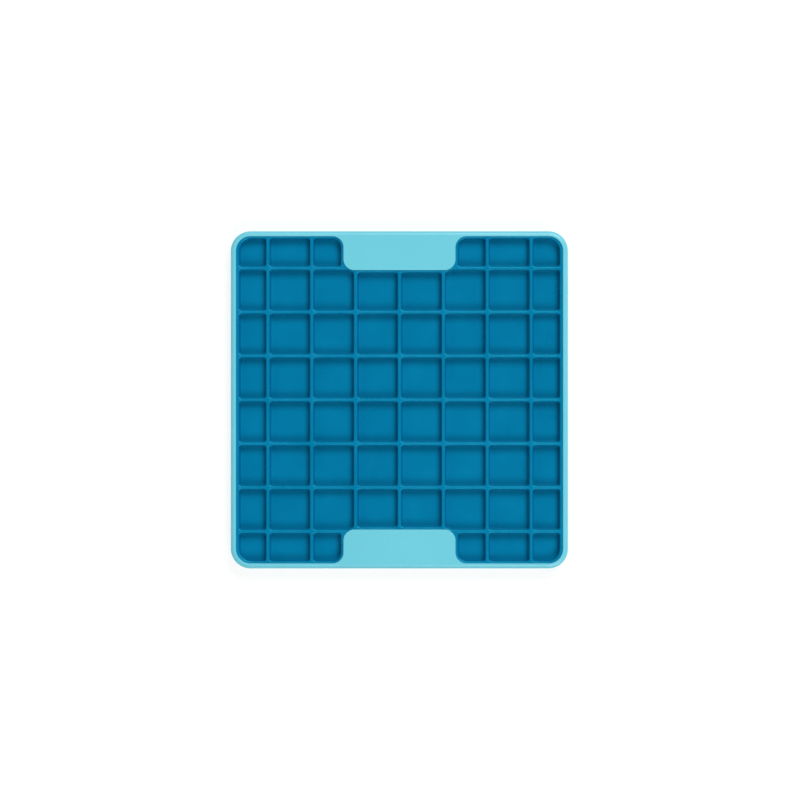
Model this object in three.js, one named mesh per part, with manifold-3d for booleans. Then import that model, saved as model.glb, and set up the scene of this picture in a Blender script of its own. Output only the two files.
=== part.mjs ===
// A lick mat for pets: a hard plastic tray with a raised rim and two grip tabs, and a soft
// rubber insert pressed into it, whose thin walls make a grid of shallow pockets for food.
// Millimetres, +Z up. The origin is the middle of the underside. Seen from above, the tabs
// lie at the two ends of Y, and the mat is the same in all four quarters.

import * as THREE from "three";
import { mergeVertices } from "three/addons/utils/BufferGeometryUtils.js";
import Module from "manifold-3d";

const wasm = await Module();
wasm.setup();

// Tray
const TRAY_SIDE = 200;
const TRAY_HEIGHT = 11;
const TRAY_CORNER_RADIUS = 11.7;
const TRAY_FLOOR = 2;
const FOOT_ROUND = 1; // bottom edge
const RIM_WIDTH = 3.15;
const RIM_OUTER_ROUND = 2.4;
const RIM_INNER_ROUND = 0.3;
const TAB_WIDTH = 66.4;
const TAB_DEPTH = 23.2; // from the tray's outer edge to the tab's inner edge
const TAB_CORNER_RADIUS = 6.5;

// Insert
const FIT_GAP = 0.3; // between the insert and the tray, at the sides and underneath
const INSERT_BELOW_RIM = 0.6;
const INSERT_EDGE_ROUND = 0.1;
const POCKETS_FROM_MIDDLE = 4; // along X or Y, from the middle of the mat to its rim
const POCKET_PITCH = 26;
const POCKET_DEPTH = 5.4;
const POCKET_CORNER_RADIUS = 1.4;
const POCKET_DRAFT = 0.8; // how far each side leans in on its way down
const WALL_WIDTH = 2.2; // between two pockets, below the rounded crest
const WALL_CREST_ROUND = 0.7;
const SIDE_BORDER = 1.85; // from the tray's recess to a pocket beside it, along X
const END_BORDER = 1.35; // the same along Y
const TAB_BORDER = 1.5; // from a tab to the pockets beside it and below it
const TAB_CLIP = 3.9; // what a tab's corner cuts off the pocket below it, along X
const RIM_CORNER_RADIUS = 7.3; // of the pocket in a corner of the mat, where the rim turns

// Steps in the arcs and rounded edges
const LARGE_ARC_STEPS = 8;
const SMALL_ARC_STEPS = 2;
const SMALL_ARC_LIMIT = 3; // radius
const RIM_ROUND_STEPS = 3;
const FINE_ROUND_STEPS = 1;
const SMALLEST_RADIUS = 0.2;
const CUT_CLEARANCE = 1; // how far a cutter stands above the face that it opens

// Heights and lengths that follow
const HALF_SIDE = TRAY_SIDE / 2;
const RECESS_EDGE = HALF_SIDE - RIM_WIDTH;
const RECESS_RADIUS = TRAY_CORNER_RADIUS - RIM_WIDTH;
const TAB_INNER_EDGE = HALF_SIDE - TAB_DEPTH;
const POCKETS_BELOW_TAB = TAB_INNER_EDGE - TAB_BORDER;
const INSERT_BOTTOM = TRAY_FLOOR + FIT_GAP;
const INSERT_CREST = TRAY_HEIGHT - INSERT_BELOW_RIM;
const POCKET_FLOOR = INSERT_CREST - POCKET_DEPTH;

// Outlines

// A corner of an outline, seen from above, with the radius that rounds it.
function corner(x, y, radius) {
  const steps = radius < SMALL_ARC_LIMIT ? SMALL_ARC_STEPS : LARGE_ARC_STEPS;
  return { x, y, radius, steps };
}

// The unit directions into and out of corner number i of an outline.
function edgeDirections(corners, i) {
  const here = new THREE.Vector2(corners[i].x, corners[i].y);
  const before = corners.at(i - 1);
  const after = corners[(i + 1) % corners.length];
  const into = here.clone().sub(before).normalize();
  const out = new THREE.Vector2(after.x, after.y).sub(here).normalize();
  return { here, into, out };
}

function leftOf(direction) {
  return new THREE.Vector2(-direction.y, direction.x);
}

// Moves every edge of a counter-clockwise outline inwards by a distance. An outer corner's
// radius shrinks by it, and that of a corner which points inwards grows.
function insetOutline(corners, distance) {
  return corners.map((old, i) => {
    const { here, into, out } = edgeDirections(corners, i);
    const turn = Math.sign(into.cross(out));
    const sideways = leftOf(into).add(leftOf(out));
    const moved = here.addScaledVector(sideways, distance / (1 + into.dot(out)));
    const radius = Math.max(old.radius - turn * distance, SMALLEST_RADIUS);
    return { x: moved.x, y: moved.y, radius, steps: old.steps };
  });
}

// The points of an outline, with an arc at each corner.
function outlinePoints(corners) {
  return corners.flatMap(({ radius, steps }, i) => {
    const { here, into, out } = edgeDirections(corners, i);
    const turn = Math.sign(into.cross(out));
    const angle = Math.acos(THREE.MathUtils.clamp(into.dot(out), -1, 1));
    const start = here.addScaledVector(into, -radius * Math.tan(angle / 2));
    const toCentre = leftOf(into).multiplyScalar(turn * radius);
    const centre = start.clone().add(toCentre);
    const from = toCentre.clone().negate().angle();
    const arc = new THREE.ArcCurve(centre.x, centre.y, radius, from, from + turn * angle, turn < 0);
    return arc.getPoints(steps);
  });
}

// An outline turned over to another quarter of the mat, still counter-clockwise.
function inQuarter(corners, signX, signY) {
  const turned = corners.map((c) => ({ ...c, x: signX * c.x, y: signY * c.y }));
  return signX * signY < 0 ? turned.reverse() : turned;
}

// One quarter's corners, given counter-clockwise from the X axis to the Y axis, carried round
// all four quarters.
function allQuarters(corners) {
  return [[1, 1], [-1, 1], [-1, -1], [1, -1]].flatMap(([x, y]) => inQuarter(corners, x, y));
}

const trayOutline = allQuarters([
  corner(HALF_SIDE, HALF_SIDE, TRAY_CORNER_RADIUS),
]);

// The recess is a square with a bay at each end of Y, where a tab stands.
const recessOutline = allQuarters([
  corner(RECESS_EDGE, RECESS_EDGE, RECESS_RADIUS),
  corner(TAB_WIDTH / 2, RECESS_EDGE, TAB_CORNER_RADIUS),
  corner(TAB_WIDTH / 2, TAB_INNER_EDGE, TAB_CORNER_RADIUS),
]);

// Profiles: each section is a height and how far the outline is inset there.

// A convex quarter round that ends at a top height, leaning in, or out for a cutter's flare.
function topRound(top, radius, steps, lean = 1) {
  return Array.from({ length: steps + 1 }, (_, k) => {
    const angle = (k / steps) * (Math.PI / 2);
    const z = top - radius + radius * Math.sin(angle);
    return { z, inset: lean * radius * (1 - Math.cos(angle)) };
  });
}

// A convex quarter round that begins at a bottom height.
function bottomRound(bottom, radius, steps) {
  return Array.from({ length: steps + 1 }, (_, k) => {
    const angle = (k / steps) * (Math.PI / 2);
    const z = bottom + radius * (1 - Math.cos(angle));
    return { z, inset: radius * (1 - Math.sin(angle)) };
  });
}

// The last section of a cutter, standing clear above the face that it opens.
function clearAbove(top, radius) {
  return { z: top + CUT_CLEARANCE, inset: -radius };
}

const trayProfile = [
  ...bottomRound(0, FOOT_ROUND, FINE_ROUND_STEPS),
  ...topRound(TRAY_HEIGHT, RIM_OUTER_ROUND, RIM_ROUND_STEPS),
];

const recessProfile = [
  { z: TRAY_FLOOR, inset: 0 },
  ...topRound(TRAY_HEIGHT, RIM_INNER_ROUND, FINE_ROUND_STEPS, -1),
  clearAbove(TRAY_HEIGHT, RIM_INNER_ROUND),
];

const insertProfile = [
  { z: INSERT_BOTTOM, inset: FIT_GAP },
  { z: INSERT_CREST - INSERT_EDGE_ROUND, inset: FIT_GAP },
  { z: INSERT_CREST, inset: FIT_GAP + INSERT_EDGE_ROUND },
];

const pocketProfile = [
  { z: POCKET_FLOOR, inset: POCKET_DRAFT },
  ...topRound(INSERT_CREST, WALL_CREST_ROUND, FINE_ROUND_STEPS, -1),
  clearAbove(INSERT_CREST, WALL_CREST_ROUND),
];

// Solids

// A closed skin through an outline's sections, from the lowest up, with a flat cap at each end.
function loft(outline, profile) {
  const rings = profile.map(({ inset }) => outlinePoints(insetOutline(outline, inset)));
  const around = rings[0].length;
  const positions = rings.flatMap((ring, k) => ring.flatMap((p) => [p.x, p.y, profile[k].z]));
  const faces = [];
  for (let k = 0; k + 1 < rings.length; k++) {
    for (let i = 0; i < around; i++) {
      const next = (i + 1) % around;
      const low = k * around;
      const high = low + around;
      faces.push(low + i, low + next, high + next, low + i, high + next, high + i);
    }
  }
  const top = (rings.length - 1) * around;
  for (const [a, b, c] of THREE.ShapeUtils.triangulateShape(rings[0], [])) {
    faces.push(a, c, b);
  }
  for (const [a, b, c] of THREE.ShapeUtils.triangulateShape(rings.at(-1), [])) {
    faces.push(top + a, top + b, top + c);
  }
  const skin = new THREE.BufferGeometry();
  skin.setAttribute("position", new THREE.Float32BufferAttribute(positions, 3));
  skin.setIndex(faces);
  return solidOf(skin);
}

function solidOf(geometry) {
  const merged = mergeVertices(geometry);
  const vertProperties = merged.attributes.position.array;
  const triVerts = new Uint32Array(merged.index.array);
  return new wasm.Manifold(new wasm.Mesh({ numProp: 3, vertProperties, triVerts }));
}

function meshOf(name, solid, material) {
  const { vertProperties, triVerts } = solid.getMesh();
  const geometry = new THREE.BufferGeometry();
  geometry.setAttribute("position", new THREE.BufferAttribute(vertProperties, 3));
  geometry.setIndex(new THREE.BufferAttribute(triVerts, 1));
  geometry.computeVertexNormals();
  const mesh = new THREE.Mesh(geometry, material);
  mesh.name = name;
  return mesh;
}

// Tray: the block of the rim with the recess cut into it, which leaves the floor and the tabs.
function makeTray() {
  return loft(trayOutline, trayProfile).subtract(loft(recessOutline, recessProfile));
}

// The outlines of one quarter's pockets run counter-clockwise, at the walls' shoulders.

// The span of a pocket along one axis, counted outwards from the middle of the mat. Walls stand
// at each multiple of the pitch, and the last pocket ends at the insert's border.
function pocketSpan(index, border) {
  const low = index * POCKET_PITCH + WALL_WIDTH / 2;
  const isLast = index === POCKETS_FROM_MIDDLE - 1;
  const high = isLast ? RECESS_EDGE - border : (index + 1) * POCKET_PITCH - WALL_WIDTH / 2;
  return [low, high];
}

function plainPocket([left, right], [near, far], farRightRadius = POCKET_CORNER_RADIUS) {
  return [
    corner(left, near, POCKET_CORNER_RADIUS),
    corner(right, near, POCKET_CORNER_RADIUS),
    corner(right, far, farRightRadius),
    corner(left, far, POCKET_CORNER_RADIUS),
  ];
}

// Beside a tab: the pocket starts at the border along the tab's side.
function pocketBesideTab([, right], [near, far]) {
  const left = TAB_WIDTH / 2 + TAB_BORDER;
  return [
    corner(left, near, POCKET_CORNER_RADIUS),
    corner(right, near, POCKET_CORNER_RADIUS),
    corner(right, far, POCKET_CORNER_RADIUS),
    corner(left, far, TAB_CORNER_RADIUS - TAB_BORDER),
  ];
}

// Below a tab's corner: the pocket's own corner is cut off where the border follows the tab round.
function pocketAtTabCorner([left, right], [near, far]) {
  return [
    corner(left, near, POCKET_CORNER_RADIUS),
    corner(right, near, POCKET_CORNER_RADIUS),
    corner(right, far, POCKET_CORNER_RADIUS),
    corner(left + TAB_CLIP, far, POCKET_CORNER_RADIUS),
    corner(left, POCKETS_BELOW_TAB, POCKET_CORNER_RADIUS),
  ];
}

function quarterPockets() {
  const last = POCKETS_FROM_MIDDLE - 1;
  const pockets = [];
  for (let column = 0; column <= last; column++) {
    for (let row = 0; row <= last; row++) {
      const across = pocketSpan(column, SIDE_BORDER);
      const along = pocketSpan(row, END_BORDER);
      if (column === 0 && row === last) {
        continue; // a tab stands here
      } else if (column === 0 && row === last - 1) {
        pockets.push(plainPocket(across, [along[0], POCKETS_BELOW_TAB]));
      } else if (column === 1 && row === last - 1) {
        pockets.push(pocketAtTabCorner(across, along));
      } else if (column === 1 && row === last) {
        pockets.push(pocketBesideTab(across, along));
      } else if (column === last && row === last) {
        pockets.push(plainPocket(across, along, RIM_CORNER_RADIUS));
      } else {
        pockets.push(plainPocket(across, along));
      }
    }
  }
  return pockets;
}

// Insert: a slab of the recess's outline with every pocket cut into it.
function makeInsert() {
  let insert = loft(recessOutline, insertProfile);
  for (const pocket of quarterPockets()) {
    for (const signX of [1, -1]) {
      for (const signY of [1, -1]) {
        insert = insert.subtract(loft(inQuarter(pocket, signX, signY), pocketProfile));
      }
    }
  }
  return insert;
}

// Finishes
const hardPlastic = new THREE.MeshStandardMaterial({
  color: 0x73d2e4,
  roughness: 0.4,
  metalness: 0,
});
const softRubber = new THREE.MeshStandardMaterial({
  color: 0x0278a4,
  roughness: 0.5,
  metalness: 0,
});

const lickMat = new THREE.Group();
lickMat.name = "lick_mat";
lickMat.add(meshOf("tray", makeTray(), hardPlastic));
lickMat.add(meshOf("insert", makeInsert(), softRubber));

export default lickMat;
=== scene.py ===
"""Lick mat: a hard plastic tray with a raised rim and two grip tabs, and a soft rubber insert
pressed into it, whose thin walls make a grid of shallow pockets.

The file is laid out as an add-on and run as a script. One operator for each moulding models it over
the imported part, in metres and in the part's own frame, where the tabs lie at the two ends of Y, and
one more sets the stage.
"""

import math

import bmesh
import bpy
from bpy.props import FloatProperty, FloatVectorProperty, PointerProperty
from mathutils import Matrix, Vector, noise


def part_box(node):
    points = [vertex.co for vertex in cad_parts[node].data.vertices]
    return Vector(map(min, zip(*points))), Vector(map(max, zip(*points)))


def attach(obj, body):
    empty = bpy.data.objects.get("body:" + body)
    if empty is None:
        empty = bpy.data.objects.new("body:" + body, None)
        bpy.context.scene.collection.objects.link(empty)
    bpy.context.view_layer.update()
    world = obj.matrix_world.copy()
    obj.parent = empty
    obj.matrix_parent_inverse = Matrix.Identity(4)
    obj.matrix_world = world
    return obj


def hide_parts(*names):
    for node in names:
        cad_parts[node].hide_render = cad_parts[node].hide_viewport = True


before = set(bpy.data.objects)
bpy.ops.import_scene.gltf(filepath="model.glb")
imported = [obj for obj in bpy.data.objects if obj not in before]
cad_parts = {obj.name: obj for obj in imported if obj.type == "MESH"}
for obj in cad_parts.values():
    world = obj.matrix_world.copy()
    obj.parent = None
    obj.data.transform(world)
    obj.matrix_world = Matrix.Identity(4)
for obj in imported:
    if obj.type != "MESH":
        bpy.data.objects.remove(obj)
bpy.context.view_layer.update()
TRAY_LOW, TRAY_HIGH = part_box("tray")
INSERT_LOW, INSERT_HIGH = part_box("insert")

bl_info = {
    "name": "Lick mat",
    "version": (1, 0, 0),
    "blender": (4, 5, 0),
    "location": "3D View > Sidebar > Lick mat",
    "description": "Models a lick mat: a hard moulded tray and the soft pocketed insert in it",
    "category": "Object",
}

MM = 0.001
QUARTER_TURN = math.pi / 2
QUARTERS = ((1, 1), (-1, 1), (-1, -1), (1, -1))  # signs of X and Y, counter-clockwise

# Pockets along X or Y, counted outwards from the middle of the mat
POCKETS_FROM_MIDDLE = 4
LAST_POCKET = POCKETS_FROM_MIDDLE - 1

# Fineness of the meshes
CORNER_STEPS = 16
POCKET_CORNER_STEPS = 6
EDGE_STEPS = 6
POCKET_SIDE_STEPS = 2  # from a wall's shoulder down to the pocket's floor
LONG_SIDE_CUTS = 5  # across each long side of a pocket, so that the soft walls can wander
LONG_SIDE_SHARE = 0.25  # a pocket's side is long if it is more than this share of the pitch
SHARP_ANGLE = math.radians(50)  # edges sharper than this shade as creases
FLAT_MARGIN = 0.15 * MM  # a flat strip beside a rounded edge, so that the flat beyond shades flat
TOUCHING = 0.001 * MM  # what is closer than this counts as the same place
OFFSET_DIGITS = 7  # decimals of a metre by which the offsets of rounded corners are told apart

WANDER_LENGTH = 11 * MM  # over which a soft wall bends one way and then the other
WANDER_SEED = 1  # so that the walls bend in the same way each time


def linear(hex_colour):
    """An sRGB hex value as linear red, green and blue."""
    channels = [int(hex_colour[i : i + 2], 16) / 255 for i in (1, 3, 5)]
    return [c / 12.92 if c <= 0.04045 else ((c + 0.055) / 1.055) ** 2.4 for c in channels]


# Sizes and colours


class LickMatTraySizes(bpy.types.PropertyGroup):
    """Sizes of the hard tray."""

    corner_radius: FloatProperty(
        name="Corner radius", description="Tray corners, seen from above",
        default=11.7 * MM, unit="LENGTH",
    )
    rim_width: FloatProperty(
        name="Rim width", description="From the outer edge to the recess",
        default=3.15 * MM, unit="LENGTH",
    )
    rim_outer_round: FloatProperty(
        name="Rim outer round", description="Radius of the rim's outer top edge",
        default=2.4 * MM, unit="LENGTH",
    )
    rim_inner_round: FloatProperty(
        name="Rim inner round", description="Radius of the top edge round the recess and the tabs",
        default=0.2 * MM, unit="LENGTH",
    )
    foot_round: FloatProperty(
        name="Foot round", description="Radius of the bottom edge",
        default=1 * MM, unit="LENGTH",
    )
    floor: FloatProperty(
        name="Floor", description="Thickness of the tray under the insert",
        default=2 * MM, unit="LENGTH",
    )
    tab_width: FloatProperty(
        name="Tab width", description="Each grip tab, along X",
        default=66.4 * MM, unit="LENGTH",
    )
    tab_depth: FloatProperty(
        name="Tab depth", description="From the tray's outer edge to the tab's inner edge",
        default=23.2 * MM, unit="LENGTH",
    )
    tab_radius: FloatProperty(
        name="Tab radius",
        description="The tab's free corners, and the corners where it leaves the rim",
        default=6.5 * MM, unit="LENGTH",
    )


class LickMatInsertSizes(bpy.types.PropertyGroup):
    """Sizes of the soft insert and its pockets."""

    side_gap: FloatProperty(
        name="Side gap", description="Between the pressed-in insert and the tray's recess",
        default=0.01 * MM, unit="LENGTH",
    )
    pitch: FloatProperty(
        name="Pitch", description="From the middle of one wall to the middle of the next",
        default=26 * MM, unit="LENGTH",
    )
    depth: FloatProperty(
        name="Pocket depth", description="From the crest of a wall to the pocket's floor",
        default=5.4 * MM, unit="LENGTH",
    )
    wall_width: FloatProperty(
        name="Wall width", description="Between two pockets, below the rounded crest",
        default=2.2 * MM, unit="LENGTH",
    )
    crest_round: FloatProperty(
        name="Crest round", description="Radius along both edges of a wall's top",
        default=0.95 * MM, unit="LENGTH",
    )
    side_border: FloatProperty(
        name="Side border", description="From the tray's recess to a pocket beside it, along X",
        default=1.85 * MM, unit="LENGTH",
    )
    end_border: FloatProperty(
        name="End border", description="From the tray's recess to a pocket beside it, along Y",
        default=1.35 * MM, unit="LENGTH",
    )
    tab_border: FloatProperty(
        name="Tab border", description="From a tab to the pockets at its sides and its inner edge",
        default=1.5 * MM, unit="LENGTH",
    )
    corner_radius: FloatProperty(
        name="Pocket corner radius",
        description="Pocket corners, seen from above, at the walls' shoulders",
        default=1.4 * MM, unit="LENGTH",
    )
    rim_radius: FloatProperty(
        name="Rim radius",
        description="Corner of a pocket in the mat's corner, where the rim turns",
        default=7.3 * MM, unit="LENGTH",
    )
    tab_clip: FloatProperty(
        name="Tab clip", description="What a tab's free corner cuts off a pocket by it, along X",
        default=3.9 * MM, unit="LENGTH",
    )
    draft: FloatProperty(
        name="Draft", description="How far each pocket side leans in on its way down",
        default=0.8 * MM, unit="LENGTH",
    )
    unevenness: FloatProperty(
        name="Unevenness", description="How far the soft walls wander from straight",
        default=0.015 * MM, unit="LENGTH",
    )


class LickMatColours(bpy.types.PropertyGroup):
    """Colours of the two mouldings."""

    tray: FloatVectorProperty(
        name="Tray", description="Light turquoise plastic",
        default=linear("#78DFF1"), subtype="COLOR", size=3, min=0, max=1,
    )
    insert: FloatVectorProperty(
        name="Insert", description="Deep sky blue rubber",
        default=linear("#0080B0"), subtype="COLOR", size=3, min=0, max=1,
    )


class LickMat(bpy.types.PropertyGroup):
    """All that a user would change on the mat."""

    tray: PointerProperty(type=LickMatTraySizes)
    insert: PointerProperty(type=LickMatInsertSizes)
    colours: PointerProperty(type=LickMatColours)


# Outlines and edges


def edge_directions(outline, i):
    """The unit directions into and out of corner number i of an outline."""
    before, here, after = (Vector(outline[k % len(outline)][:2]) for k in (i - 1, i, i + 1))
    return (here - before).normalized(), (after - here).normalized()


def add_faces(bm, outlines, z, steps):
    """One flat face for each outline, a list of corners (x, y, radius), which are rounded."""
    known = set(bm.faces)
    corners_by_offset = {}
    for outline in outlines:
        verts = [bm.verts.new((x, y, z)) for x, y, _ in outline]
        bm.faces.new(verts)
        for i, (_, _, radius) in enumerate(outline):
            into, out = edge_directions(outline, i)
            offset = radius * math.tan(into.angle(out) / 2)
            corners_by_offset.setdefault(round(offset, OFFSET_DIGITS), []).append(verts[i])
    for offset, verts in corners_by_offset.items():
        bmesh.ops.bevel(
            bm, geom=verts, offset=offset, offset_type="OFFSET", affect="VERTICES",
            segments=steps, profile=0.5, material=-1, clamp_overlap=False,
        )
    return [face for face in bm.faces if face not in known]


def add_block(bm, outline, low, high):
    """An upright block of an outline, given back as its top face and its bottom face."""
    (top,) = add_faces(bm, [outline], high, CORNER_STEPS)
    (bottom,) = add_faces(bm, [outline], low, CORNER_STEPS)
    bottom.normal_flip()
    bmesh.ops.bridge_loops(bm, edges=list(top.edges) + list(bottom.edges))
    return top, bottom


def step_faces(bm, faces, sections):
    """Carries faces through sections of (inset, rise), each from the last one: inwards, and out
    along each face's own normal."""
    for inset, rise in sections:
        bmesh.ops.inset_individual(
            bm, faces=faces, thickness=inset, depth=rise, use_even_offset=True,
        )


def round_over(radius):
    """A quarter round from an upright side to a flat top, as sections of (inset, rise)."""
    angles = [QUARTER_TURN * k / EDGE_STEPS for k in range(EDGE_STEPS + 1)]
    return [
        (radius * (math.cos(a) - math.cos(b)), radius * (math.sin(b) - math.sin(a)))
        for a, b in zip(angles, angles[1:])
    ]


def roll_down(radius):
    """A quarter round from a flat top down to an upright side, as sections of (inset, rise)."""
    return [(inset, -rise) for inset, rise in reversed(round_over(radius))]


def fill_between(bm, face, hole):
    """Gives a flat face a hole: fills between its edges and those of a smaller face inside it."""
    loops = list(face.edges) + list(hole.edges)
    bmesh.ops.delete(bm, geom=[face], context="FACES_ONLY")
    bmesh.ops.triangle_fill(bm, edges=loops, use_beauty=True, normal=(0, 0, 1))


def finish_piece(bm, name, material, node):
    """Makes a mesh object of a finished moulding, which stands for its node of the part."""
    bmesh.ops.recalc_face_normals(bm, faces=bm.faces)
    for face in bm.faces:
        face.smooth = True
    for edge in bm.edges:
        edge.smooth = edge.calc_face_angle() < SHARP_ANGLE
    mesh = bpy.data.meshes.new(name)
    bm.to_mesh(mesh)
    bm.free()
    mesh.materials.append(material)
    piece = bpy.data.objects.new(name, mesh)
    bpy.context.scene.collection.objects.link(piece)
    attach(piece, "root")
    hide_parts(node)


def square_outline(half_side, radius):
    """A square about the middle of the mat, with rounded corners."""
    return [(x * half_side, y * half_side, radius) for x, y in QUARTERS]


def in_quarter(corners, sign_x, sign_y):
    """An outline turned over to another quarter of the mat, still counter-clockwise."""
    turned = [(sign_x * x, sign_y * y, radius) for x, y, radius in corners]
    return turned[::-1] if sign_x * sign_y < 0 else turned


def recess_outline(sizes, grow):
    """The recess, a square with a bay at each end of Y where a tab stands, grown by a distance."""
    half_side = TRAY_HIGH.x
    edge = half_side - sizes.rim_width + grow
    outer_radius = sizes.corner_radius - sizes.rim_width + grow
    tab_side = sizes.tab_width / 2 - grow
    tab_end = half_side - sizes.tab_depth + grow
    quarter = [
        (edge, edge, outer_radius),
        (tab_side, edge, sizes.tab_radius + grow),
        (tab_side, tab_end, sizes.tab_radius - grow),
    ]
    return [corner for signs in QUARTERS for corner in in_quarter(quarter, *signs)]


# Tray


def model_tray(sizes):
    """A block from foot to rim, and the recess sunk into it, which leaves floor and tabs."""
    bm = bmesh.new()
    half_side = TRAY_HIGH.x
    height = TRAY_HIGH.z
    outline = square_outline(half_side, sizes.corner_radius)
    top, foot = add_block(bm, outline, sizes.foot_round, height - sizes.rim_outer_round)
    step_faces(bm, [top], round_over(sizes.rim_outer_round) + [(FLAT_MARGIN, 0)])
    step_faces(bm, [foot], round_over(sizes.foot_round) + [(FLAT_MARGIN, 0)])

    mouth_grow = sizes.rim_inner_round + FLAT_MARGIN
    (mouth,) = add_faces(bm, [recess_outline(sizes, mouth_grow)], height, CORNER_STEPS)
    fill_between(bm, top, mouth)
    recess_depth = height - sizes.rim_inner_round - sizes.floor
    step_faces(bm, [mouth], [(FLAT_MARGIN, 0)] + roll_down(sizes.rim_inner_round))
    step_faces(bm, [mouth], [(0, -recess_depth)])
    return bm


# Insert


def pocket_span(sizes, index, last_side):
    """A pocket's two sides along one axis, counted outwards from the middle of the mat. Walls stand
    at each multiple of the pitch, and the last pocket ends beside the insert's border."""
    low = index * sizes.pitch + sizes.wall_width / 2
    if index == LAST_POCKET:
        return low, last_side
    return low, (index + 1) * sizes.pitch - sizes.wall_width / 2


def quarter_pockets(sizes, tray):
    """The outlines of one quarter's pockets at the walls' shoulders, as corners (x, y, radius)."""
    plain = sizes.corner_radius
    recess_edge = TRAY_HIGH.x - tray.rim_width
    tab_side = tray.tab_width / 2 + sizes.tab_border
    tab_end = TRAY_HIGH.x - tray.tab_depth - sizes.tab_border
    rounded_by_tab = tray.tab_radius - sizes.tab_border
    pockets = []
    for column in range(POCKETS_FROM_MIDDLE):
        for row in range(POCKETS_FROM_MIDDLE):
            if (column, row) == (0, LAST_POCKET):
                continue  # a tab stands here
            left, right = pocket_span(sizes, column, recess_edge - sizes.side_border)
            near, far = pocket_span(sizes, row, recess_edge - sizes.end_border)
            near_left = (left, near, plain)
            near_right = (right, near, plain)
            far_right = [(right, far, plain)]
            far_left = [(left, far, plain)]
            if (column, row) == (0, LAST_POCKET - 1):
                far_right = [(right, tab_end, plain)]
                far_left = [(left, tab_end, plain)]
            elif (column, row) == (1, LAST_POCKET - 1):
                far_left = [(left + sizes.tab_clip, far, plain), (left, tab_end, plain)]
            elif (column, row) == (1, LAST_POCKET):
                near_left = (tab_side, near, plain)
                far_left = [(tab_side, far, rounded_by_tab)]
            elif (column, row) == (LAST_POCKET, LAST_POCKET):
                far_right = [(right, far, sizes.rim_radius)]
            pockets.append([near_left, near_right, *far_right, *far_left])
    return pockets


def grown(outline, distance):
    """A convex outline with its sides moved out by a distance, and its corner radii grown by it."""
    moved = []
    for i, (x, y, radius) in enumerate(outline):
        into, out = edge_directions(outline, i)
        outward = Vector((into.y + out.y, -into.x - out.x))
        move = outward * distance / (1 + into.dot(out))
        moved.append((x + move.x, y + move.y, radius + distance))
    return moved


def scored(bm, top, sizes):
    """Cuts the slab's top along the middle of every wall, into one face round each pocket."""
    others = set(bm.faces) - {top}
    for axis in (Vector((1, 0, 0)), Vector((0, 1, 0))):
        for wall in range(-LAST_POCKET, LAST_POCKET + 1):
            faces = [face for face in bm.faces if face not in others]
            around = dict.fromkeys(part for face in faces for part in (*face.edges, *face.verts))
            bmesh.ops.bisect_plane(
                bm, geom=[*faces, *around], dist=TOUCHING,
                plane_co=axis * wall * sizes.pitch, plane_no=axis,
            )
    return [face for face in bm.faces if face not in others]


def cell_at(face, pitch):
    """The column and row of the grid that a face lies in."""
    middle = face.calc_center_median()
    return math.floor(middle.x / pitch), math.floor(middle.y / pitch)


def stand_ends_upright(bm, sizes, tray):
    """Takes the draft off the pocket sides at the mat's two ends of Y, by stretching those pockets
    outwards."""
    floor = INSERT_HIGH.z - sizes.depth
    shoulder = INSERT_HIGH.z - sizes.crest_round
    last_side = TRAY_HIGH.x - tray.rim_width - sizes.end_border
    near, far = pocket_span(sizes, LAST_POCKET, last_side)
    for vert in bm.verts:
        if floor - TOUCHING < vert.co.z < shoulder and abs(vert.co.y) > near:
            down = (shoulder - vert.co.z) / (shoulder - floor)
            along = (abs(vert.co.y) - near) / (far - sizes.draft - near)
            vert.co.y += math.copysign(sizes.draft * down * along, vert.co.y)


def let_walls_wander(bm, sizes):
    """Moves the walls a little off their straight lines, most at the crests, as soft ones are."""
    crest = INSERT_HIGH.z
    floor = crest - sizes.depth
    noise.seed_set(WANDER_SEED)
    for vert in bm.verts:
        share = min(max((vert.co.z - floor) / (crest - floor), 0), 1)
        vert.co += noise.noise_vector(vert.co / WANDER_LENGTH) * sizes.unevenness * share


def model_insert(sizes, tray):
    """A slab of the recess's outline, open at the pockets' mouths, with each pocket sunk there."""
    bm = bmesh.new()
    crest = INSERT_HIGH.z
    outlines = [
        grown(in_quarter(pocket, *signs), sizes.crest_round)
        for pocket in quarter_pockets(sizes, tray)
        for signs in QUARTERS
    ]
    mouths = add_faces(bm, outlines, crest, POCKET_CORNER_STEPS)
    long_side = sizes.pitch * LONG_SIDE_SHARE
    long_sides = [edge for edge in bm.edges if edge.calc_length() > long_side]
    bmesh.ops.subdivide_edges(bm, edges=long_sides, cuts=LONG_SIDE_CUTS)

    outline = recess_outline(tray, -sizes.side_gap)
    top, _ = add_block(bm, outline, INSERT_LOW.z, crest)
    cells = {cell_at(face, sizes.pitch): face for face in scored(bm, top, sizes)}
    for mouth in mouths:
        fill_between(bm, cells[cell_at(mouth, sizes.pitch)], mouth)

    side_depth = sizes.depth - sizes.crest_round
    side_step = (sizes.draft / POCKET_SIDE_STEPS, -side_depth / POCKET_SIDE_STEPS)
    step_faces(bm, mouths, roll_down(sizes.crest_round))
    step_faces(bm, mouths, [side_step] * POCKET_SIDE_STEPS)
    stand_ends_upright(bm, sizes, tray)
    bmesh.ops.poke(bm, faces=mouths)
    let_walls_wander(bm, sizes)
    return bm


# Materials

# Most values of a noise pattern lie between these two
NOISE_LOW = 0.3
NOISE_HIGH = 0.7

TRAY_DRIFT = 45 * MM  # width of the drifts in the plastic's tone
TRAY_DRIFT_SHADE = 0.965  # how dark they get, as a share of the colour
TRAY_GRAIN = 0.35 * MM  # the real grain is about 0.1 mm across, drawn coarser so that it shows
TRAY_GRAIN_DEPTH = 0.04 * MM

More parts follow.
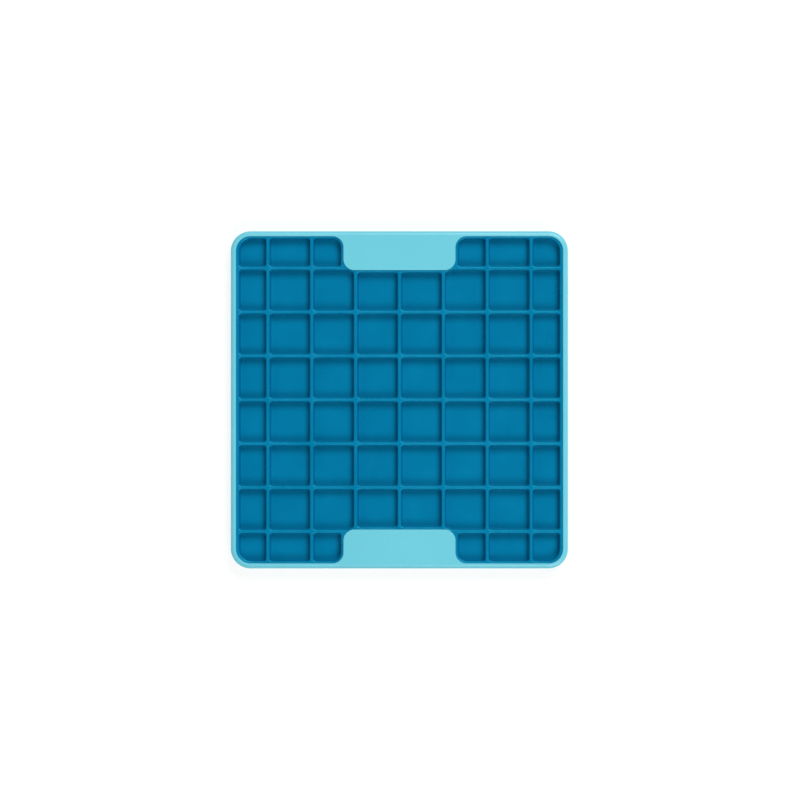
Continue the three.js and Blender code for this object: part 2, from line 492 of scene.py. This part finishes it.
RUBBER_CLOUD = 18 * MM  # width of the clouds in the rubber's tone
RUBBER_CLOUD_SHADE = 0.93  # how dark they get, as a share of the colour
RUBBER_GRAIN = 0.3 * MM  # the real grain is about 0.05 mm across, drawn coarser so that it shows
RUBBER_GRAIN_DEPTH = 0.03 * MM
RUBBER_GLOSS = linear("#50FFFF")  # tint of the gloss, which the photograph shows as blue

# Painted highlight: the top millimetre of the walls is painted paler, standing in for the light that
# the exposed crests catch more than the pockets, more where the clouds are pale. It starts and is
# whole at these depths below the crests, and adds at most the third value to a cloud's value.
CREST_HIGHLIGHT_START = 1.0 * MM
CREST_HIGHLIGHT_FULL = 0.2 * MM
CREST_HIGHLIGHT_ADD = 0.4
CREST_HIGHLIGHT_PALEST = 1.0  # the value at which the painted highlight is palest
CREST_HIGHLIGHT_GAIN = 1.075  # the palest colour is the rubber's own times this
CREST_HIGHLIGHT_LIFT = 0.002  # and plus this


def add_node(tree, kind, settings=None, links=None):
    """Adds a node, sets its properties, the values of its sockets or the stops of its colour ramp,
    given as (position, colour) in rising order, and links its sockets."""
    node = tree.nodes.new(kind)
    for name, value in (settings or {}).items():
        if name == "stops":
            elements = node.color_ramp.elements
            while len(elements) < len(value):
                elements.new(1.0)
            for element, (position, colour) in zip(elements, value):
                element.position = position
                element.color = (*colour, 1)
        elif name in node.inputs:
            node.inputs[name].default_value = value
        else:
            setattr(node, name, value)
    for name, source in (links or {}).items():
        tree.links.new(source, node.inputs[name])
    return node


def new_material(name):
    """A material with an empty node tree, and that tree."""
    material = bpy.data.materials.new(name)
    material.use_nodes = True
    material.node_tree.nodes.clear()
    return material, material.node_tree


def moulded_polypropylene(colour):
    """Polypropylene, injection moulded in a finely spark-eroded tool: an even, opaque colour with a
    satin gloss that a fine grain breaks up, and a faint drift in tone where the melt flowed."""
    material, tree = new_material("Moulded polypropylene, satin")
    place = add_node(tree, "ShaderNodeTexCoord").outputs["Object"]
    drift = add_node(
        tree, "ShaderNodeTexNoise",
        {"Scale": 1 / TRAY_DRIFT, "Detail": 2.0, "Roughness": 0.5}, {"Vector": place},
    )
    shade = [c * TRAY_DRIFT_SHADE for c in colour]
    tone = add_node(
        tree, "ShaderNodeValToRGB",
        {"stops": [(NOISE_LOW, shade), (NOISE_HIGH, colour)]}, {"Fac": drift.outputs["Fac"]},
    )
    grain = add_node(
        tree, "ShaderNodeTexNoise",
        {"Scale": 1 / TRAY_GRAIN, "Detail": 3.0, "Roughness": 0.6}, {"Vector": place},
    )
    roughness = add_node(
        tree, "ShaderNodeMapRange",
        {"From Min": NOISE_LOW, "From Max": NOISE_HIGH, "To Min": 0.24, "To Max": 0.36},
        {"Value": grain.outputs["Fac"]},
    )
    bump = add_node(
        tree, "ShaderNodeBump",
        {"Strength": 0.08, "Distance": TRAY_GRAIN_DEPTH}, {"Height": grain.outputs["Fac"]},
    )
    surface = add_node(
        tree, "ShaderNodeBsdfPrincipled",
        {"IOR": 1.49, "Specular IOR Level": 0.6},
        {
            "Base Color": tone.outputs["Color"],
            "Roughness": roughness.outputs["Result"],
            "Normal": bump.outputs["Normal"],
        },
    )
    add_node(tree, "ShaderNodeOutputMaterial", links={"Surface": surface.outputs["BSDF"]})
    return material


def moulded_rubber(colour):
    """Thermoplastic rubber, injection moulded: a deep, even colour with a soft satin gloss, a faint
    cloudiness from handling, a painted highlight that makes the crests a little paler, and a fine
    grain left by the tool."""
    material, tree = new_material("Moulded thermoplastic rubber, satin")
    place = add_node(tree, "ShaderNodeTexCoord").outputs["Object"]
    cloud = add_node(
        tree, "ShaderNodeTexNoise",
        {"Scale": 1 / RUBBER_CLOUD, "Detail": 4.0, "Roughness": 0.55}, {"Vector": place},
    )
    height = add_node(tree, "ShaderNodeSeparateXYZ", links={"Vector": place})
    # Painted highlight: the top of each wall is painted paler, standing in for the light the crests
    # catch
    crest_highlight_mask = add_node(
        tree, "ShaderNodeMapRange",
        {
            "From Min": INSERT_HIGH.z - CREST_HIGHLIGHT_START,
            "From Max": INSERT_HIGH.z - CREST_HIGHLIGHT_FULL,
            "To Max": CREST_HIGHLIGHT_ADD,
        },
        {"Value": height.outputs["Z"]},
    )
    cloud_and_crest_highlight = add_node(
        tree, "ShaderNodeMath", {"operation": "ADD"},
        {0: cloud.outputs["Fac"], 1: crest_highlight_mask.outputs["Result"]},
    )
    shade = [c * RUBBER_CLOUD_SHADE for c in colour]
    # the palest colour is a painted highlight on the crests, added to the cloudy tone
    highlit_crest_colour = [c * CREST_HIGHLIGHT_GAIN + CREST_HIGHLIGHT_LIFT for c in colour]
    tone = add_node(
        tree, "ShaderNodeValToRGB",
        {"stops": [(NOISE_LOW, shade), (NOISE_HIGH, colour), (CREST_HIGHLIGHT_PALEST, highlit_crest_colour)]},
        {"Fac": cloud_and_crest_highlight.outputs["Value"]},
    )
    roughness = add_node(
        tree, "ShaderNodeMapRange",
        {"From Min": NOISE_LOW, "From Max": NOISE_HIGH, "To Min": 0.26, "To Max": 0.36},
        {"Value": cloud.outputs["Fac"]},
    )
    grain = add_node(
        tree, "ShaderNodeTexNoise",
        {"Scale": 1 / RUBBER_GRAIN, "Detail": 2.0, "Roughness": 0.6}, {"Vector": place},
    )
    bump = add_node(
        tree, "ShaderNodeBump",
        {"Strength": 0.05, "Distance": RUBBER_GRAIN_DEPTH}, {"Height": grain.outputs["Fac"]},
    )
    surface = add_node(
        tree, "ShaderNodeBsdfPrincipled",
        {"IOR": 1.5, "Specular IOR Level": 0.7, "Specular Tint": (*RUBBER_GLOSS, 1)},
        {
            "Base Color": tone.outputs["Color"],
            "Roughness": roughness.outputs["Result"],
            "Normal": bump.outputs["Normal"],
        },
    )
    add_node(tree, "ShaderNodeOutputMaterial", links={"Surface": surface.outputs["BSDF"]})
    return material


# Stage

IMAGE_SIDE = 800  # pixels
MAT_IN_IMAGE = 337.3  # the mat's side in the photograph, in pixels
MAT_MIDDLE_IN_IMAGE = (399.45, 399.85)  # pixels from the photograph's left and top
LENS = 135  # mm
SENSOR = 36  # mm, the sensor's width
FLOOR_SIDE = 60.0  # metres
FLOOR_COLOUR = linear("#818181")
FLOOR_GLOW = 0.835  # light that the floor gives off, where 1 is white in the image
WHITE = (*linear("#FFFFFF"), 1)

# Two softboxes stand to the right of the mat, one at its far side and one at its near side, and a
# weak one fills in from the left. Each has an azimuth from +X towards +Y and an elevation, in
# degrees, a width and a height in metres, and a power in watts.
SOFTBOX_DISTANCE = 6.0  # metres from the mat
SOFTBOXES = (
    # name, azimuth, elevation, width, height, watts
    ("softbox_far", 66, 48, 3.0, 2.8, 214),
    ("softbox_near", -66, 48, 3.0, 2.8, 150),
    ("softbox_fill", 180, 40, 2.4, 2.4, 25.6),
)
AMBIENT = 0.14
BACKDROP = FLOOR_GLOW + FLOOR_COLOUR[0] * AMBIENT  # what the floor comes to far from the softboxes


def white_floor():
    """Opal acrylic, sanded and lit from below: an even white ground on which shadows stay faint."""
    material, tree = new_material("Opal acrylic light table, sanded")
    surface = add_node(
        tree, "ShaderNodeBsdfPrincipled",
        {
            "Base Color": (*FLOOR_COLOUR, 1),
            "Roughness": 0.9,
            "Specular IOR Level": 0.0,
            "Emission Color": WHITE,
            "Emission Strength": FLOOR_GLOW,
        },
    )
    add_node(tree, "ShaderNodeOutputMaterial", links={"Surface": surface.outputs["BSDF"]})
    return material


def add_floor():
    """A wide white floor under the mat."""
    bm = bmesh.new()
    bmesh.ops.create_grid(bm, x_segments=1, y_segments=1, size=FLOOR_SIDE / 2)
    mesh = bpy.data.meshes.new("floor")
    bm.to_mesh(mesh)
    bm.free()
    mesh.materials.append(white_floor())
    floor = bpy.data.objects.new("floor", mesh)
    floor.location.z = TRAY_LOW.z
    bpy.context.scene.collection.objects.link(floor)


def add_softbox(name, azimuth, elevation, width, height, watts):
    """A lamp behind a rectangular diffuser, turned to the mat."""
    lamp = bpy.data.lights.new(name, "AREA")
    lamp.shape = "RECTANGLE"
    lamp.size = width
    lamp.size_y = height
    lamp.energy = watts
    softbox = bpy.data.objects.new(name, lamp)
    turn = math.radians(azimuth)
    rise = math.radians(elevation)
    level = math.cos(rise)
    towards = Vector((level * math.cos(turn), level * math.sin(turn), math.sin(rise)))
    softbox.location = towards * SOFTBOX_DISTANCE
    softbox.rotation_euler = towards.to_track_quat("Z", "Y").to_euler()
    bpy.context.scene.collection.objects.link(softbox)


def add_ambient():
    """Even light from all round, and a backdrop as pale as the far floor, so no horizon shows."""
    world = bpy.data.worlds.new("studio")
    bpy.context.scene.world = world
    world.use_nodes = True
    tree = world.node_tree
    tree.nodes.clear()
    light = add_node(tree, "ShaderNodeBackground", {"Color": WHITE, "Strength": AMBIENT})
    backdrop = add_node(tree, "ShaderNodeBackground", {"Color": WHITE, "Strength": BACKDROP})
    ray = add_node(tree, "ShaderNodeLightPath")
    both = add_node(
        tree, "ShaderNodeMixShader",
        links={
            0: ray.outputs["Is Camera Ray"],
            1: light.outputs["Background"],
            2: backdrop.outputs["Background"],
        },
    )
    add_node(tree, "ShaderNodeOutputWorld", links={"Surface": both.outputs["Shader"]})


def add_camera():
    """Straight above the mat, framed as in the photograph, which shows the outline at the height
    where the tray is widest, just below the rim's outer round."""
    lens = bpy.data.cameras.new("camera")
    lens.lens = LENS
    lens.sensor_width = SENSOR
    camera = bpy.data.objects.new("camera", lens)
    pixel = (TRAY_HIGH.x - TRAY_LOW.x) / MAT_IN_IMAGE
    view_side = pixel * IMAGE_SIDE
    outline_height = TRAY_HIGH.z - bpy.context.scene.lick_mat.tray.rim_outer_round
    camera.location = (
        (IMAGE_SIDE / 2 - MAT_MIDDLE_IN_IMAGE[0]) * pixel,
        (MAT_MIDDLE_IN_IMAGE[1] - IMAGE_SIDE / 2) * pixel,
        outline_height + view_side * LENS / SENSOR,
    )
    bpy.context.scene.collection.objects.link(camera)
    bpy.context.scene.camera = camera


# Operators


class LICKMAT_OT_tray(bpy.types.Operator):
    """Model the hard plastic tray"""

    bl_idname = "lick_mat.tray"
    bl_label = "Tray"

    def execute(self, context):
        mat = context.scene.lick_mat
        finish = moulded_polypropylene(list(mat.colours.tray))
        finish_piece(model_tray(mat.tray), "tray_moulding", finish, "tray")
        return {"FINISHED"}


class LICKMAT_OT_insert(bpy.types.Operator):
    """Model the soft rubber insert with its pockets"""

    bl_idname = "lick_mat.insert"
    bl_label = "Insert"

    def execute(self, context):
        mat = context.scene.lick_mat
        finish = moulded_rubber(list(mat.colours.insert))
        bm = model_insert(mat.insert, mat.tray)
        finish_piece(bm, "insert_moulding", finish, "insert")
        return {"FINISHED"}


class LICKMAT_OT_stage(bpy.types.Operator):
    """Add the floor, the softboxes and the camera"""

    bl_idname = "lick_mat.stage"
    bl_label = "Stage"

    def execute(self, context):
        add_floor()
        for row in SOFTBOXES:
            add_softbox(*row)
        add_ambient()
        add_camera()
        context.scene.view_settings.view_transform = "Standard"
        return {"FINISHED"}


class LICKMAT_PT_sidebar(bpy.types.Panel):
    """Lists the mat's sizes, colours and operators"""

    bl_idname = "LICKMAT_PT_sidebar"
    bl_label = "Lick mat"
    bl_space_type = "VIEW_3D"
    bl_region_type = "UI"
    bl_category = "Lick mat"

    def draw(self, context):
        mat = context.scene.lick_mat
        for title, group in (("Tray", mat.tray), ("Insert", mat.insert), ("Colours", mat.colours)):
            box = self.layout.box()
            box.label(text=title)
            for name in group.__annotations__:
                box.prop(group, name)
        for operator in OPERATORS:
            self.layout.operator(operator.bl_idname)


OPERATORS = (LICKMAT_OT_tray, LICKMAT_OT_insert, LICKMAT_OT_stage)
CLASSES = (
    LickMatTraySizes,
    LickMatInsertSizes,
    LickMatColours,
    LickMat,
    *OPERATORS,
    LICKMAT_PT_sidebar,
)


def register():
    for cls in CLASSES:
        bpy.utils.register_class(cls)
    bpy.types.Scene.lick_mat = PointerProperty(type=LickMat)


def unregister():
    del bpy.types.Scene.lick_mat
    for cls in reversed(CLASSES):
        bpy.utils.unregister_class(cls)


def main():
    """Makes the mat and its stage."""
    register()
    bpy.ops.lick_mat.tray()
    bpy.ops.lick_mat.insert()
    bpy.ops.lick_mat.stage()


if __name__ == "__main__":
    main()
